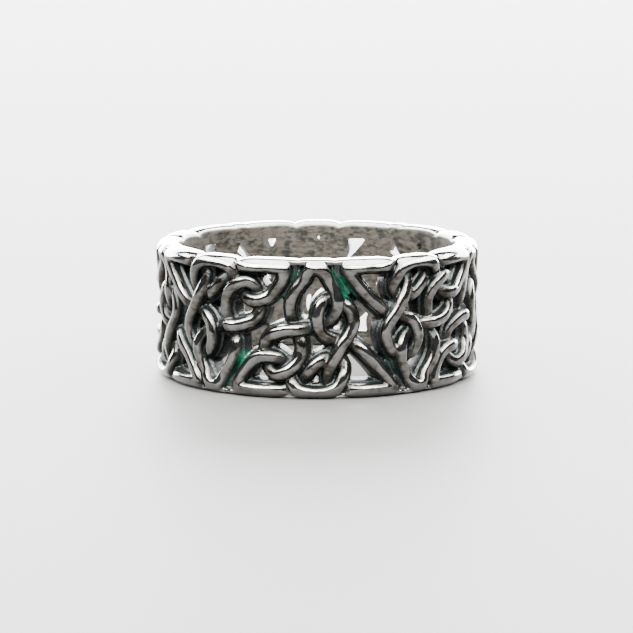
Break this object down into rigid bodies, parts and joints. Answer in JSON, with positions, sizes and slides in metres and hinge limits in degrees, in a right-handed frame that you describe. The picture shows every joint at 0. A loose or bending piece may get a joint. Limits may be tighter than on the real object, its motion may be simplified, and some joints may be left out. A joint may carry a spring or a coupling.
{
  "type": "celtic knot ring",
  "caption": "Wide cast silver finger ring: a pierced band of interlaced triangular knots pointing up and down in turn, with a plain round bore.",
  "frame": {"origin": "centre of the finger bore, on the plane that the lower rim rests on", "axes": "+Z along the bore, up through the lying ring; -Y towards the knot at the middle of the front, which points up; +X to the right of that knot as seen from outside"},
  "size_m": [0.0213, 0.0214, 0.0088],
  "materials": {
    "oxidised_silver": "cast silver, polished on the crests, blackened and tinted dark green in the recesses"
  },
  "bodies": {
    "root": {"knot_band": "oxidised_silver"}
  },
  "joints": []
}
